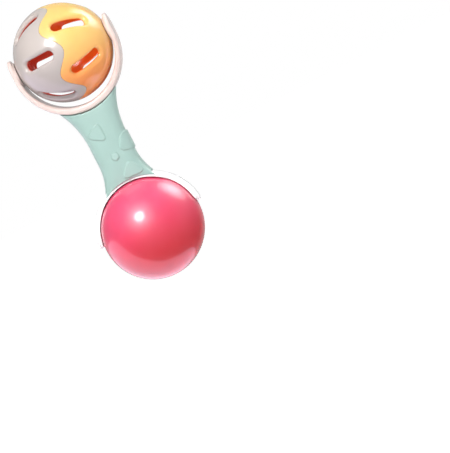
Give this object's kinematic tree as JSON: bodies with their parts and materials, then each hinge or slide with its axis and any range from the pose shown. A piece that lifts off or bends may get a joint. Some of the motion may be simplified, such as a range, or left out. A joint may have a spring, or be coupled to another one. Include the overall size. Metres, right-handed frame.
{
  "type": "rattle ball",
  "caption": "Hand-held baby rattle: a slotted two-colour ball spins in a yoke at one end of a waisted soft grip, and a closed ball with loose beads sits in a cradle at the other.",
  "frame": {"origin": "on the handle's long axis, midway between the two ball centres, inside the grip", "axes": "+Z along the handle towards the slotted ball, X along that ball's spin axis with the orange half on +X, -Y out of the front"},
  "size_m": [0.0512, 0.047, 0.1345],
  "materials": {
    "yoke_plastic": "glossy pale blush moulded plastic",
    "cradle_plastic": "glossy white moulded plastic",
    "grip_rubber": "soft-touch mint moulded elastomer",
    "spinner_grey": "glossy warm grey moulded plastic",
    "spinner_orange": "glossy apricot orange moulded plastic",
    "rattle_pink": "high-gloss coral pink moulded plastic",
    "bead_plastic": "plain cream moulded plastic"
  },
  "bodies": {
    "handle": {"yoke": "yoke_plastic", "cradle": "cradle_plastic", "grip": "grip_rubber", "rattle_shell_front": "rattle_pink", "rattle_shell_back": "rattle_pink"},
    "spinner": {"spinner_half_grey": "spinner_grey", "spinner_half_orange": "spinner_orange"},
    "bead_1_body": {"bead_1": "bead_plastic"},
    "bead_2_body": {"bead_2": "bead_plastic"},
    "bead_3_body": {"bead_3": "bead_plastic"},
    "bead_4_body": {"bead_4": "bead_plastic"},
    "bead_5_body": {"bead_5": "bead_plastic"},
    "bead_6_body": {"bead_6": "bead_plastic"},
    "bead_7_body": {"bead_7": "bead_plastic"}
  },
  "joints": [
    {"name": "spinner_spin", "type": "hinge", "parent": "handle", "child": "spinner", "pos_m": [0, 0, 0.04425], "axis": [1, 0, 0], "continuous": true},
    {"name": "bead_1_rattle", "type": "slide", "parent": "handle", "child": "bead_1_body", "axis": [0, 0, 1], "range_m": [0, 0.033]},
    {"name": "bead_2_rattle", "type": "slide", "parent": "handle", "child": "bead_2_body", "axis": [0, 0, 1], "range_m": [0, 0.033]},
    {"name": "bead_3_rattle", "type": "slide", "parent": "handle", "child": "bead_3_body", "axis": [0, 0, 1], "range_m": [0, 0.033]},
    {"name": "bead_4_rattle", "type": "slide", "parent": "handle", "child": "bead_4_body", "axis": [0, 0, 1], "range_m": [0, 0.033]},
    {"name": "bead_5_rattle", "type": "slide", "parent": "handle", "child": "bead_5_body", "axis": [0, 0, 1], "range_m": [0, 0.033]},
    {"name": "bead_6_rattle", "type": "slide", "parent": "handle", "child": "bead_6_body", "axis": [0, 0, 1], "range_m": [0, 0.033]},
    {"name": "bead_7_rattle", "type": "slide", "parent": "handle", "child": "bead_7_body", "axis": [0, 0, 1], "range_m": [0, 0.033]}
  ]
}
